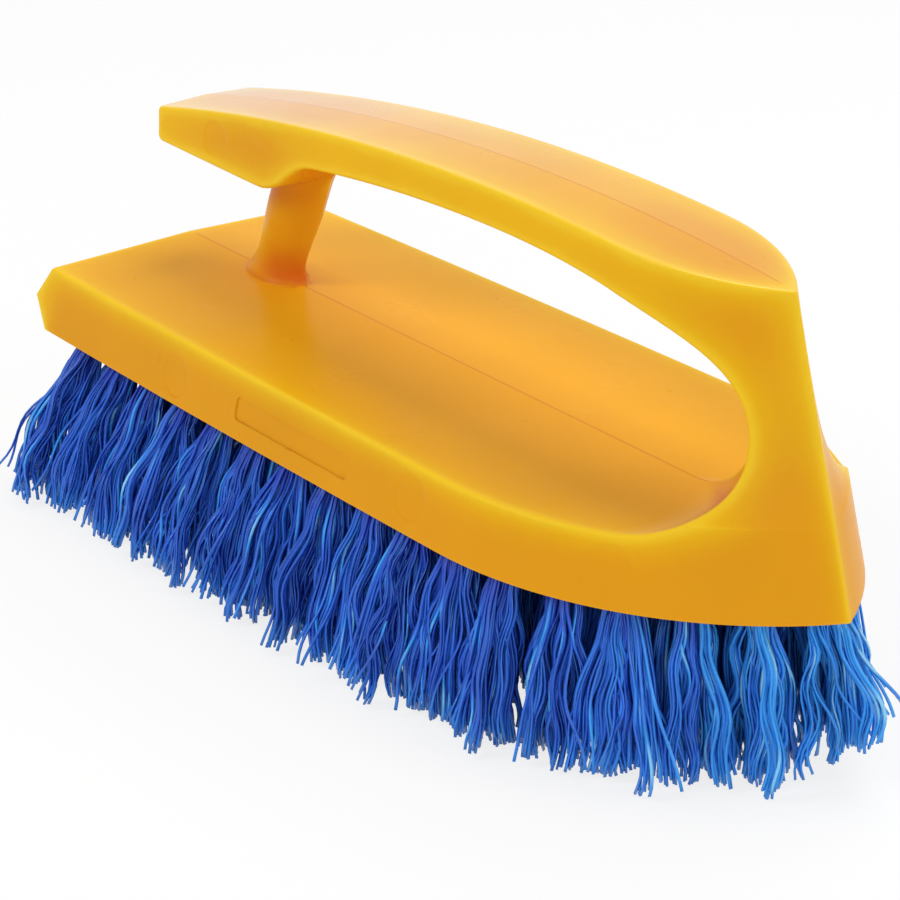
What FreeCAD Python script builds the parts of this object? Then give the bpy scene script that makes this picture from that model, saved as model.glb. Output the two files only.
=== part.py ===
"""Iron-handled scrub brush.

One moulding holds the block, the toe pillar, the arched grip, the heel strut and the scraper edge.
Tufts of crimped filament stand in blind holes drilled in its underside, each held by a flat-wire staple.
While it is shaped, X runs from the scraper edge (0) to the toe, Y is the width about the parting plane
and Z is measured from the block's underside. The finished brush stands on its bristle tips at Z = 0.
"""
import FreeCAD
import Part
import Sketcher
import math
import os

V = FreeCAD.Vector
TOUCH = 1e-3  # anything nearer than this counts as touching
doc = FreeCAD.newDocument("ScrubBrush")


# Driving dimensions, in millimetres unless a note says otherwise
SIZES = [
    ("overall_length", 155.0, "scraper edge to the toe's point, at the underside"),
    ("block_half_width", 30.4, "half of the block's width at the shoulder"),
    ("heel_taper", 1.7, "how much less that is at the heel"),
    ("toe_run", 49.3, "length of the toe's curve, from the shoulder to the point"),
    ("side_draft", 2.3, "how far the sides lean in between the underside and the block's top"),
    ("block_top", 12.5, "height where the block's sides become the pillar's flare"),
    ("toe_lean", 0.336, "how far the toe's edge leans back per millimetre of height"),
    ("scraper_height", 4.8, "height of the scraper edge"),
    ("scraper_under", 3.7, "length of the scraper's lower bevel"),
    ("scraper_slope", 0.68, "run of the scraper's upper bevel per millimetre of height"),
    ("floor_heel", 11.4, "height of the floor's ridge at the heel"),
    ("floor_toe", 10.2, "height of the floor's ridge at the pillar's foot"),
    ("lip_height", 10.1, "height of the floor at the block's rim"),
    ("roof_angle", 2.6, "slope of the grip's top and underside away from the ridge, in degrees"),
    ("waist_height", 22.0, "height of the pillar's waist"),
    ("waist_spread", 4.4, "how much wider than the grip the pillar's waist is, on each side"),
    ("waist_toe_run", 39.3, "length of the waist's curve to the toe"),
    ("underarm_drop", 9.7, "depth below the crown where the grip's sides stop being upright"),
    ("grip_half_width", 11.1, "half of the grip's width at its widest"),
    ("grip_draft", 0.2, "how far the grip's sides lean in at their top"),
    ("grip_toe_run", 37.3, "length over which the grip narrows to its point"),
    ("nose_x", 7.7, "heel end of the grip"),
    ("nose_taper", 1.8, "how much narrower the grip's heel end is, on each side"),
    ("crown_back", 62.3, "where the grip's arch is highest, back from the toe"),
    ("crown_height", 45.7, "height of the grip's top at the crown"),
    ("top_radius", 370.0, "radius of the grip's top, along its length"),
    ("grip_thick", 6.6, "thickness of the grip at the crown"),
    ("arch_radius", 300.0, "radius of the grip's underside, heel side of the crown"),
    ("arch_fullness", 0.62, "how far the arch's curve keeps level to the toe, as a share of its run"),
    ("pillar_fullness", 0.86, "how far the same curve keeps upright from the pillar, as a share of its rise"),
    ("pillar_depth", 14.0, "toe end of the grip opening at the pillar's flanks, back from the toe"),
    ("pillar_nose_depth", 19.8, "the same on the parting plane"),
    ("pillar_flank", 8.2, "how far out the pillar's nose has become its flank"),
    ("pillar_draft", 0.9, "how far the flank runs on to the toe in the same width again"),
    ("opening_radius", 10.5, "radius at the foot of the grip opening's toe end"),
    ("beak_drop", 16.0, "overhang's underside below the crown"),
    ("beak_x", 36.5, "where the overhang's underside turns up to the arch"),
    ("beak_rise_x", 50.7, "where it has become the arch"),
    ("strut_heel_x", 21.9, "strut's heel edge at the floor"),
    ("strut_length", 13.4, "strut's length at the floor"),
    ("strut_taper", 1.6, "how much shorter the strut is at the grip"),
    ("strut_lean", 0.43, "how far the strut leans to the toe per millimetre of height"),
    ("strut_half_thick", 3.4, "half of the strut's thickness"),
    ("strut_sink", 0.9, "how deep the strut's foot reaches into the block, and how high its spread goes"),
    ("strut_head_rise", 6.2, "how far the strut's head reaches up into the grip"),
    ("strut_neck_drop", 1.0, "where the strut starts to spread, below the overhang"),
    ("strut_root_flare", 2.2, "spread of the strut at the lower end of its foot"),
    ("strut_foot_flare", 0.1, "spread of the strut just above the floor"),
    ("strut_neck_flare", 0.4, "spread of the strut just below the overhang"),
    ("strut_head_flare", 3.5, "spread of the strut at the upper end of its head"),
    ("panel_x", 70.8, "middle of the side walls' sunk panel"),
    ("panel_z", 4.65, "middle of that panel above the underside"),
    ("panel_length", 27.6, "length of the panel"),
    ("panel_height", 3.7, "height of the panel"),
    ("panel_corner", 0.9, "corner radius of the panel"),
    ("panel_depth", 0.3, "depth of the panel"),
    ("edge_radius", 0.6, "rounding of the opening's rim and of the grip's edges"),
    ("nose_radius", 2.0, "rounding of the grip's heel end"),
    ("toe_radius", 0.6, "rounding of the toe's edge"),
    ("trim", 26.0, "bristle length below the block"),
    ("hole_diameter", 4.6, "tuft hole"),
    ("hole_depth", 7.2, "tuft hole"),
    ("tuft_clearance", 0.1, "play between tuft and hole, and between staple and tuft"),
    ("tuft_pitch", 8.9, "distance between tufts"),
    ("edge_margin", 4.5, "outermost tufts from the block's outline"),
    ("heel_margin", 13.8, "first row of tufts from the scraper edge"),
    ("row_fill", 0.7, "share of a pitch that has to be left over before a row takes one more tuft"),
    ("tip_gap", 0.4, "space between neighbouring tufts at their tips"),
    ("splay_side", 5.5, "how far the outermost tufts lean out at the sides"),
    ("splay_heel", 4.0, "how far the first row leans to the heel"),
    ("splay_toe", 2.0, "how far the last row leans to the toe"),
    ("sway", 4.0, "how far the last row leans to the far side"),
    ("sway_x", 72.0, "where that lean is none; from there to the heel, tufts lean to the near side"),
    ("fan_depth", 11.7, "depth below the block where a tuft has fanned out most of the way"),
    ("fan_share", 0.64, "share of its lean and spread that it has there"),
    ("staple_height", 1.8, "width of the staple's flat wire"),
    ("staple_thick", 0.5, "thickness of the staple's flat wire"),
    ("staple_setback", 1.6, "staple from the bottom of its hole"),
    ("cut_past", 12.0, "how far the shapes that cut the moulding run past it"),
]

sheet = doc.addObject("Spreadsheet::Sheet", "Sizes")
for row, (alias, value, note) in enumerate(SIZES, start=1):
    sheet.set("A%d" % row, alias)
    sheet.set("B%d" % row, str(value))
    sheet.set("C%d" % row, note)
    sheet.setAlias("B%d" % row, alias)

# Dimensions that follow from those
DERIVED = [
    ("heel_half_width", "block_half_width - heel_taper", "half of the block's width at the heel"),
    ("shoulder_x", "overall_length - toe_run", "where the sides stop widening"),
    ("waist_half_width", "grip_half_width + waist_spread", "half of the waist's width at its own shoulder"),
    ("waist_shoulder_x", "overall_length - waist_toe_run", "where the waist's curve to the toe starts"),
    ("grip_shoulder_x", "overall_length - grip_toe_run", "where the grip starts to narrow"),
    ("nose_half_width", "grip_half_width - nose_taper", "half of the grip's width at its heel end"),
    ("crown_x", "overall_length - crown_back", "where the grip's arch is highest"),
    ("pillar_x", "overall_length - pillar_depth", "end of the opening at the pillar's flanks"),
    ("pillar_nose_x", "overall_length - pillar_nose_depth", "end of the opening on the parting plane"),
    ("underarm_height", "crown_height - underarm_drop", "height above which the grip's sides are upright"),
    ("arch_height", "crown_height - grip_thick", "height of the grip's underside at the crown"),
    ("beak_height", "crown_height - beak_drop", "height of the overhang's underside"),
]
for row, (alias, formula, note) in enumerate(DERIVED, start=len(SIZES) + 1):
    sheet.set("A%d" % row, alias)
    sheet.set("B%d" % row, "=" + formula)
    sheet.set("C%d" % row, note)
    sheet.setAlias("B%d" % row, alias)
doc.recompute()


def size(alias):
    """Value of a driving dimension."""
    return float(sheet.get(alias))


def plane(body, role):
    """One of a body's own origin planes."""
    return next(item for item in body.Origin.OriginFeatures if item.Role == role)


def attached_sketch(body, name, role, offset=None):
    """A sketch on one of the body's planes, raised along its normal by an expression."""
    sketch = body.newObject("Sketcher::SketchObject", name)
    sketch.AttachmentSupport = [(plane(body, role), "")]
    sketch.MapMode = "FlatFace"
    if offset:
        sketch.setExpression("AttachmentOffset.Base.z", offset)
    return sketch


def bind(sketch, name, expression, *constraint):
    """A named constraint whose value follows the sheet."""
    index = sketch.addConstraint(Sketcher.Constraint(*constraint))
    sketch.renameConstraint(index, name)
    sketch.setExpression("Constraints." + name, expression)


def evaluate(expression):
    """The number that a sheet expression stands for, to place a sketch's first draft."""
    return float(sheet.evalExpression(expression.replace("Sizes.", "")))


START, END, CENTRE = range(1, 4)
ORIGIN = (-1, 1)
AXES = (-1, -2)
X_AXIS, Y_AXIS = AXES


def arc(cx, cy, radius, first, last):
    """Counter-clockwise arc between two directions given as points."""
    circle = Part.Circle(V(cx, cy, 0), V(0, 0, 1), radius)
    start = math.atan2(first[1] - cy, first[0] - cx)
    stop = math.atan2(last[1] - cy, last[0] - cx)
    return Part.ArcOfCircle(circle, start, stop if stop > start else stop + 2 * math.pi)


def plan_section(body, name, height, heel_x, heel_half, shoulder_x, half, toe_x):
    """Horizontal section: straight heel, two gently bowed sides and two arcs that meet at the toe."""
    sketch = attached_sketch(body, name, "XY_Plane", height)
    hx, hw, sx, w, tx = (evaluate(item) for item in (heel_x, heel_half, shoulder_x, half, toe_x))
    side_radius = ((sx - hx) ** 2 + (w - hw) ** 2) / (2 * (w - hw))
    toe_radius = ((tx - sx) ** 2 + w ** 2) / (2 * w)
    heel, far_side, far_toe, near_toe, near_side = range(5)
    sketch.addGeometry([
        Part.LineSegment(V(hx, -hw, 0), V(hx, hw, 0)),
        arc(sx, w - side_radius, side_radius, (sx, w), (hx, hw)),
        arc(sx, w - toe_radius, toe_radius, (tx, 0), (sx, w)),
        arc(sx, toe_radius - w, toe_radius, (sx, -w), (tx, 0)),
        arc(sx, side_radius - w, side_radius, (hx, -hw), (sx, -w)),
    ], False)
    for joint in ((far_toe, START, near_toe, END), (far_toe, END, far_side, START), (far_side, END, heel, END),
                  (heel, START, near_side, START), (near_side, END, near_toe, START)):
        sketch.addConstraint(Sketcher.Constraint("Coincident", *joint))
    sketch.addConstraint(Sketcher.Constraint("PointOnObject", far_toe, START, X_AXIS))
    sketch.addConstraint(Sketcher.Constraint("Symmetric", far_toe, END, near_toe, START, X_AXIS))
    sketch.addConstraint(Sketcher.Constraint("Symmetric", heel, START, heel, END, X_AXIS))
    for edge, crown in ((far_toe, END), (far_side, START), (near_toe, START), (near_side, END)):
        sketch.addConstraint(Sketcher.Constraint("Vertical", edge, CENTRE, edge, crown))
    bind(sketch, "toe_x", toe_x, "DistanceX", *ORIGIN, far_toe, START, tx)
    bind(sketch, "shoulder_x", shoulder_x, "DistanceX", *ORIGIN, far_toe, END, sx)
    bind(sketch, "half_width", half, "DistanceY", *ORIGIN, far_toe, END, w)
    bind(sketch, "heel_half", heel_half, "DistanceY", *ORIGIN, heel, END, hw)
    if hx == 0:
        sketch.addConstraint(Sketcher.Constraint("PointOnObject", heel, END, Y_AXIS))
    else:
        bind(sketch, "heel_x", heel_x, "DistanceX", *ORIGIN, heel, END, hx)
    return sketch


def loft(body, name, sections, ruled):
    """Additive loft through a body's sketches, lowest first."""
    feature = body.newObject("PartDesign::AdditiveLoft", name)
    feature.Profile = sections[0]
    feature.Sections = sections[1:]
    feature.Ruled = ruled
    feature.Closed = False
    return feature


# Outer form of the moulding: the block, and above it the bow that becomes pillar and grip
def toe_at(height):
    return "Sizes.overall_length - Sizes.toe_lean * (%s)" % height


form = doc.addObject("PartDesign::Body", "outer_form")
block_sections = [
    plan_section(form, "underside_plan", "0", "0", "Sizes.heel_half_width", "Sizes.shoulder_x",
                 "Sizes.block_half_width", toe_at("0")),
    plan_section(form, "rim_plan", "Sizes.block_top", "0", "Sizes.heel_half_width - Sizes.side_draft",
                 "Sizes.shoulder_x", "Sizes.block_half_width - Sizes.side_draft", toe_at("Sizes.block_top")),
]
block = loft(form, "block", block_sections, True)
doc.recompute()

BOW_LEVELS = [
    ("foot_plan", "Sizes.block_top", "Sizes.shoulder_x", "Sizes.block_half_width - Sizes.side_draft"),
    ("waist_plan", "Sizes.waist_height", "Sizes.waist_shoulder_x", "Sizes.waist_half_width"),
    ("underarm_plan", "Sizes.underarm_height", "Sizes.grip_shoulder_x", "Sizes.grip_half_width"),
    ("top_plan", "Sizes.crown_height + Sizes.cut_past / 4", "Sizes.grip_shoulder_x",
     "Sizes.grip_half_width - Sizes.grip_draft"),
]
bow_sections = [
    plan_section(form, name, height, "Sizes.nose_x", "Sizes.nose_half_width", shoulder_x, half, toe_at(height))
    for name, height, shoulder_x, half in BOW_LEVELS
]
bow = loft(form, "bow", bow_sections, False)
doc.recompute()


# Scraper: bevels above and below a straight edge across the whole heel
def scraper_bevels():
    """Heel profile to cut away, in side view: below the edge, the edge itself, and above it to the rim."""
    sketch = attached_sketch(form, "scraper_profile", "XZ_Plane")
    over = "(Sizes.block_top - Sizes.scraper_height) * Sizes.scraper_slope"
    behind = -size("scraper_under")
    outline = [
        V(behind, 0, 0),
        V(size("scraper_under"), 0, 0),
        V(0, size("scraper_height"), 0),
        V(evaluate(over), size("block_top"), 0),
        V(behind, size("block_top"), 0),
    ]
    under_side, lower, upper, rim, back = range(5)
    for begin, finish in zip(outline, outline[1:] + outline[:1]):
        sketch.addGeometry(Part.LineSegment(begin, finish), False)
    for edge, following in ((under_side, lower), (lower, upper), (upper, rim), (rim, back), (back, under_side)):
        sketch.addConstraint(Sketcher.Constraint("Coincident", edge, END, following, START))
    sketch.addConstraint(Sketcher.Constraint("Horizontal", under_side))
    sketch.addConstraint(Sketcher.Constraint("Horizontal", rim))
    sketch.addConstraint(Sketcher.Constraint("Vertical", back))
    sketch.addConstraint(Sketcher.Constraint("PointOnObject", lower, START, X_AXIS))
    sketch.addConstraint(Sketcher.Constraint("PointOnObject", upper, START, Y_AXIS))
    bind(sketch, "under", "Sizes.scraper_under", "DistanceX", *ORIGIN, lower, START, outline[1].x)
    bind(sketch, "edge_height", "Sizes.scraper_height", "DistanceY", *ORIGIN, upper, START, outline[2].y)
    bind(sketch, "over", over, "DistanceX", *ORIGIN, rim, START, outline[3].x)
    bind(sketch, "rim_height", "Sizes.block_top", "DistanceY", *ORIGIN, rim, START, outline[3].y)
    bind(sketch, "behind", "Sizes.scraper_under", "DistanceX", under_side, START, *ORIGIN, -behind)
    pocket = form.newObject("PartDesign::Pocket", "scraper")
    pocket.Profile = sketch
    pocket.Type = "ThroughAll"
    pocket.Midplane = True
    return pocket


uncut_volume = form.Shape.Volume
scraper_bevels()
doc.recompute()
assert form.Shape.Volume < uncut_volume, "the scraper's bevels cut nothing"


# Grip opening: everything between the block's floor and the grip's underside, from the heel to the pillar.
# Floor, end wall and underside all fall away from the parting plane, so each half is a loft through
# side-view outlines.
PAST_HEEL = -size("cut_past")
PAST_SIDE = size("block_half_width") + size("cut_past")
FLOOR_FALL = (size("floor_heel") - size("floor_toe")) / size("pillar_nose_x")
SLOPE = math.tan(math.radians(size("roof_angle")))


def floor_height(x, out):
    """Height of the block's floor at a distance out from the parting plane."""
    ridge = size("floor_heel") - FLOOR_FALL * x
    return ridge + (size("lip_height") - ridge) * out / size("block_half_width")


def opening_outline(out, end_x):
    """Side-view outline of the grip opening at a distance out from the parting plane."""
    def at(x, z):
        return V(x, -out, z)

    radius = size("opening_radius")
    rise = SLOPE * out
    foot_x = end_x - radius
    foot_z = floor_height(foot_x, out)
    turn_z = foot_z + radius
    crown = at(size("crown_x"), size("arch_height") + rise)
    end_curve = Part.BezierCurve()
    end_curve.setPoles([
        at(end_x, turn_z),
        at(end_x, turn_z + size("pillar_fullness") * (crown.z - turn_z)),
        at(end_x - size("arch_fullness") * (end_x - crown.x), crown.z),
        crown,
    ])
    reach = crown.x - size("beak_rise_x")
    arch_fall = reach ** 2 / (2 * size("arch_radius"))
    arch_end = at(size("beak_rise_x"), crown.z - arch_fall)
    arch_slope = reach / size("arch_radius")
    beak = at(size("beak_x"), size("beak_height") + rise)
    step = (arch_end.x - beak.x) / 2
    beak_curve = Part.BezierCurve()
    beak_curve.setPoles([arch_end, at(arch_end.x - step, arch_end.z - step * arch_slope),
                         at(beak.x + step, beak.z), beak])
    arch_curve = Part.BezierCurve()
    arch_curve.setPoles([crown, at(crown.x - reach / 2, crown.z), arch_end])
    behind = at(PAST_HEEL, beak.z)
    start = at(PAST_HEEL, floor_height(PAST_HEEL, out))
    turn = math.pi / 4
    foot_arc = Part.Arc(
        at(foot_x, foot_z),
        at(foot_x + radius * math.sin(turn), turn_z - radius * math.cos(turn)),
        at(end_x, turn_z),
    )
    return Part.Wire([
        Part.LineSegment(start, at(foot_x, foot_z)).toShape(),
        foot_arc.toShape(),
        end_curve.toShape(),
        arch_curve.toShape(),
        beak_curve.toShape(),
        Part.LineSegment(beak, behind).toShape(),
        Part.LineSegment(behind, start).toShape(),
    ])


def top_outline(out):
    """Side-view outline of what lies above the grip's arched top."""
    crown = size("crown_height") - SLOPE * out
    ends = (PAST_HEEL, size("overall_length") + size("cut_past"))
    above = size("crown_height") + size("cut_past")

    def arched(x):
        return V(x, -out, crown - (x - size("crown_x")) ** 2 / (2 * size("top_radius")))

    top = Part.Arc(arched(ends[0]), arched(size("crown_x")), arched(ends[1]))
    return Part.Wire([
        top.toShape(),
        Part.LineSegment(arched(ends[1]), V(ends[1], -out, above)).toShape(),
        Part.LineSegment(V(ends[1], -out, above), V(ends[0], -out, above)).toShape(),
        Part.LineSegment(V(ends[0], -out, above), arched(ends[0])).toShape(),
    ])


def both_sides(near_half):
    """A near half and its mirror image across the parting plane."""
    return Part.makeCompound([near_half, near_half.mirror(V(0, 0, 0), V(0, 1, 0))])


flank, flank_x, run_on = size("pillar_flank"), size("pillar_x"), size("pillar_draft")
opening_stations = [
    (0.0, size("pillar_nose_x")),
    (flank, flank_x),
    (2 * flank, flank_x + run_on),
    (PAST_SIDE, flank_x + run_on * (PAST_SIDE / flank - 1) / 2),
]
opening = doc.addObject("Part::Feature", "grip_opening")
opening_outlines = [opening_outline(*station) for station in opening_stations]
opening.Shape = both_sides(Part.makeLoft(opening_outlines, True, False))
above_grip = doc.addObject("Part::Feature", "above_grip")
above_grip.Shape = both_sides(Part.makeLoft([top_outline(0.0), top_outline(PAST_SIDE)], True, True))

opened = doc.addObject("Part::Cut", "opened_form")
opened.Base = form
opened.Tool = opening
topped = doc.addObject("Part::Cut", "topped_form")
topped.Base = opened
topped.Tool = above_grip
doc.recompute()


# Strut between floor and overhang: a leaning lens in section, with its two edges on the parting plane
strut = doc.addObject("PartDesign::Body", "strut_form")


def lens_section(name, height, spread):
    """Horizontal lens: two arcs that meet on the parting plane."""
    above = "(%s - Sizes.floor_heel)" % height
    heel_x = "Sizes.strut_heel_x + Sizes.strut_lean * %s - (%s)" % (above, spread)
    share = "%s / (Sizes.beak_height - Sizes.floor_heel)" % above
    length = "Sizes.strut_length - Sizes.strut_taper * %s + 2 * (%s)" % (share, spread)
    half = "Sizes.strut_half_thick + (%s)" % spread
    radius = "((%s) ^ 2 / 4 + (%s) ^ 2) / (2 * (%s))" % (length, half, half)
    sketch = attached_sketch(strut, name, "XY_Plane", height)
    hx, span, r, t = (evaluate(item) for item in (heel_x, length, radius, half))
    middle = hx + span / 2
    near, far = range(2)
    sketch.addGeometry([
        arc(middle, r - t, r, (hx, 0), (hx + span, 0)),
        arc(middle, t - r, r, (hx + span, 0), (hx, 0)),
    ], False)
    sketch.addConstraint(Sketcher.Constraint("Coincident", near, START, far, END))
    sketch.addConstraint(Sketcher.Constraint("Coincident", near, END, far, START))
    sketch.addConstraint(Sketcher.Constraint("PointOnObject", near, START, X_AXIS))
    sketch.addConstraint(Sketcher.Constraint("PointOnObject", near, END, X_AXIS))
    bind(sketch, "heel_x", heel_x, "DistanceX", *ORIGIN, near, START, hx)
    bind(sketch, "length", length, "DistanceX", near, START, near, END, span)
    bind(sketch, "near_radius", radius, "Radius", near, r)
    bind(sketch, "far_radius", radius, "Radius", far, r)
    return sketch


STRUT_LEVELS = [
    ("strut_root", "Sizes.floor_heel - Sizes.strut_sink", "Sizes.strut_root_flare"),
    ("strut_foot", "Sizes.floor_heel + Sizes.strut_sink", "Sizes.strut_foot_flare"),
    ("strut_shank", "(Sizes.floor_heel + Sizes.beak_height) / 2", "0"),
    ("strut_neck", "Sizes.beak_height - Sizes.strut_neck_drop", "Sizes.strut_neck_flare"),
    ("strut_head", "Sizes.beak_height + Sizes.strut_head_rise", "Sizes.strut_head_flare"),
]
loft(strut, "strut", [lens_section(*level) for level in STRUT_LEVELS], False)
moulding = doc.addObject("Part::Fuse", "moulding")
moulding.Base = topped
moulding.Tool = strut
moulding.Refine = True
doc.recompute()


# Rounded edges: the rim of the opening, the grip's long edges and heel end, and the toe's edge
def lies_on(point, solid):
    """Whether a point is on the skin of a solid."""
    skin = Part.makeCompound(solid.Shape.Faces)
    return Part.Vertex(point).distToShape(skin)[0] < TOUCH


def rounded_edges(shape):
    """Numbers and radii of the edges that the mould rounds."""
    chosen = []
    for number, edge in enumerate(shape.Edges, start=1):
        middle = edge.valueAt((edge.FirstParameter + edge.LastParameter) / 2)
        off_plane = all(abs(vertex.Y) > TOUCH for vertex in edge.Vertexes)
        on_form = lies_on(middle, form)
        on_rim = on_form and off_plane and (lies_on(middle, opening) or lies_on(middle, above_grip))
        on_nose = abs(middle.x - size("nose_x")) < TOUCH
        on_toe = abs(middle.y) < TOUCH and on_form and middle.x > size("pillar_x")
        if on_nose:
            chosen.append((number, size("nose_radius"), size("nose_radius")))
        elif on_rim:
            chosen.append((number, size("edge_radius"), size("edge_radius")))
        elif on_toe and middle.z < size("underarm_height"):
            chosen.append((number, size("toe_radius"), size("toe_radius")))
    return chosen


softened = doc.addObject("Part::Fillet", "softened_moulding")
softened.Base = moulding
softened.Edges = rounded_edges(moulding.Shape)
doc.recompute()


# Panel sunk into each side wall: an oblong through the block, less a block whose walls lie deeper
inner = doc.addObject("PartDesign::Body", "inner_form")
INNER_HEEL = "Sizes.heel_half_width - Sizes.panel_depth"
INNER_SIDE = "Sizes.block_half_width - Sizes.panel_depth"
inner_sections = [
    plan_section(inner, "inner_underside_plan", "0", "0", INNER_HEEL, "Sizes.shoulder_x", INNER_SIDE,
                 toe_at("0")),
    plan_section(inner, "inner_rim_plan", "Sizes.block_top", "0", INNER_HEEL + " - Sizes.side_draft",
                 "Sizes.shoulder_x", INNER_SIDE + " - Sizes.side_draft", toe_at("Sizes.block_top")),
]
loft(inner, "inner_block", inner_sections, True)


def panel_prism():
    """Oblong with rounded corners, carried across the whole block."""
    half_length, half_height, corner = size("panel_length") / 2, size("panel_height") / 2, size("panel_corner")
    reach = size("block_half_width") + size("cut_past")
    low = V(size("panel_x") - half_length, -reach, size("panel_z") - half_height)
    prism = Part.makeBox(2 * half_length, 2 * reach, 2 * half_height, low)
    across = [edge for edge in prism.Edges if abs(edge.Length - 2 * reach) < TOUCH]
    return prism.makeFillet(corner, across)


oblong = doc.addObject("Part::Feature", "panel_oblong")
oblong.Shape = panel_prism()
panels = doc.addObject("Part::Cut", "panels")
panels.Base = oblong
panels.Tool = inner
panelled = doc.addObject("Part::Cut", "panelled_moulding")
panelled.Base = softened
panelled.Tool = panels
doc.recompute()


# Tufts: outermost ones follow the outline at one pitch, and cross rows fill the width between them
def tuft_rows():
    """Root positions, one list per cross row, from heel to toe."""
    half, margin, pitch = size("block_half_width"), size("edge_margin"), size("tuft_pitch")
    taper = size("heel_taper")
    toe_radius = (size("toe_run") ** 2 + half ** 2) / (2 * half)
    side_radius = (size("shoulder_x") ** 2 + taper ** 2) / (2 * taper)
    inset = toe_radius - margin
    reach = []
    turn = math.acos((toe_radius - half) / inset)
    while turn > 0:
        reach.append((size("shoulder_x") + inset * math.sin(turn), half - toe_radius + inset * math.cos(turn)))
        turn -= pitch / inset
    last_x = reach[-1][0]
    steps = math.floor((last_x - size("heel_margin")) / pitch)
    for step in range(1, steps + 1):
        x = last_x - (last_x - size("heel_margin")) * step / steps
        drop = side_radius - math.sqrt(side_radius ** 2 - (size("shoulder_x") - x) ** 2)
        reach.append((x, half - drop - margin))
    rows = []
    for x, out in reversed(reach):
        gaps = math.ceil(2 * out / pitch - size("row_fill"))
        step = 2 * out / gaps if gaps else 0
        rows.append([V(x, step * (place - gaps / 2), 0) for place in range(gaps + 1)])
    return rows


ROWS = tuft_rows()
FIRST_X = ROWS[0][0].x
LAST_X = ROWS[-1][0].x


def tip_of(root):
    """Where a tuft ends: it leans out from the middle and sways with its place along the block."""
    middle = (FIRST_X + LAST_X) / 2
    along = (root.x - middle) / (LAST_X - middle)
    out = root.y / (size("block_half_width") - size("edge_margin"))
    lean_x = (size("splay_toe") if along > 0 else size("splay_heel")) * along
    lean_y = size("splay_side") * out + size("sway") * (root.x - size("sway_x")) / (LAST_X - size("sway_x"))
    return V(root.x + lean_x, root.y + lean_y, -size("trim"))


TIPS = [tip_of(root) for row in ROWS for root in row]


def tip_diameter(root):
    """Width of a tuft at its tips: it spreads until it all but meets its nearest neighbour."""
    tip = tip_of(root)
    return min(tip.distanceToPoint(other) for other in TIPS if other != tip) - size("tip_gap")


def ring(centre, diameter):
    """Corners of a level eight-sided ring round a point."""
    angles = [math.pi * corner / 4 for corner in range(8)]
    return [centre + V(math.cos(a), math.sin(a), 0) * (diameter / 2) for a in angles]


def flat_face(corners):
    """Flat face inside a closed row of corners."""
    return Part.Face(Part.makePolygon(corners + corners[:1]))


def flat_sided(rings):
    """Solid with flat sides between rings of the same number of corners, highest first."""
    faces = [flat_face(rings[0]), flat_face(rings[-1][::-1])]
    for upper, lower in zip(rings, rings[1:]):
        for near, following in zip(range(len(upper)), list(range(1, len(upper))) + [0]):
            faces.append(flat_face([upper[near], lower[near], lower[following], upper[following]]))
    return Part.Solid(Part.Shell(faces))


PLUG = size("hole_diameter") - 2 * size("tuft_clearance")
STAPLE_Z = size("hole_depth") - size("staple_setback") - size("staple_height")


def staple_bar(root, play):
    """Flat wire across a hole, enlarged by the play of the slot that takes it."""
    chord = math.sqrt(size("hole_diameter") ** 2 - size("staple_thick") ** 2) - 2 * size("tuft_clearance")
    length, width = chord + 2 * play, size("staple_thick") + 2 * play
    corner = V(root.x - width / 2, root.y - length / 2, STAPLE_Z - play)
    return Part.makeBox(width, length, size("staple_height") + 2 * play, corner)


def tuft(root):
    """A bundle of filament: a plug in its hole, slotted for its staple, then a spray down to the tips."""
    deep = root + V(0, 0, size("hole_depth") - size("tuft_clearance"))
    tip, spread, share = tip_of(root), tip_diameter(root), size("fan_share")
    fan = root + V((tip.x - root.x) * share, (tip.y - root.y) * share, -size("fan_depth"))
    fan_spread = PLUG + (spread - PLUG) * share
    bundle = flat_sided([ring(deep, PLUG), ring(root, PLUG), ring(fan, fan_spread), ring(tip, spread)])
    return bundle.cut(staple_bar(root, size("tuft_clearance")))


def hole(root):
    """Blind hole, drilled from below the underside."""
    depth = size("hole_depth")
    return Part.makeCylinder(size("hole_diameter") / 2, 2 * depth, root - V(0, 0, depth))


holes = doc.addObject("Part::Feature", "tuft_holes")
holes.Shape = Part.makeCompound([hole(root) for row in ROWS for root in row])
handle = doc.addObject("Part::Cut", "handle_block")
handle.Base = panelled
handle.Tool = holes
pieces = [handle]
for number, row in enumerate(ROWS, start=1):
    tufts = doc.addObject("Part::Feature", "tuft_row_%02d" % number)
    tufts.Shape = Part.makeCompound([tuft(root) for root in row])
    staples = doc.addObject("Part::Feature", "staple_row_%02d" % number)
    staples.Shape = Part.makeCompound([staple_bar(root, 0.0) for root in row])
    pieces += [tufts, staples]

# The finished brush stands on its bristle tips, centred on its own length
heel_reach = min([0.0] + [tip_of(root).x - tip_diameter(root) / 2 for root in ROWS[0]])
toe_reach = max([size("overall_length")] + [tip_of(root).x + tip_diameter(root) / 2 for root in ROWS[-1]])
standing = FreeCAD.Placement(V(-(heel_reach + toe_reach) / 2, 0, size("trim")), FreeCAD.Rotation())
for item in pieces:
    item.Placement = standing
    item.Label = item.Name
doc.recompute()

for item in doc.Objects:
    assert not {"Invalid", "Error"} & set(item.State), "%s failed" % item.Name
for item in pieces:
    assert not item.Shape.isNull() and item.Shape.isValid(), "%s has no sound shape" % item.Label
os.makedirs("parts", exist_ok=True)
for item in pieces:
    item.Shape.exportStep(os.path.join("parts", item.Label + ".step"))
tuft_count = sum(len(row) for row in ROWS)
print(len(pieces), "nodes,", tuft_count, "tufts, moulding", round(handle.Shape.Volume), "mm3")
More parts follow.
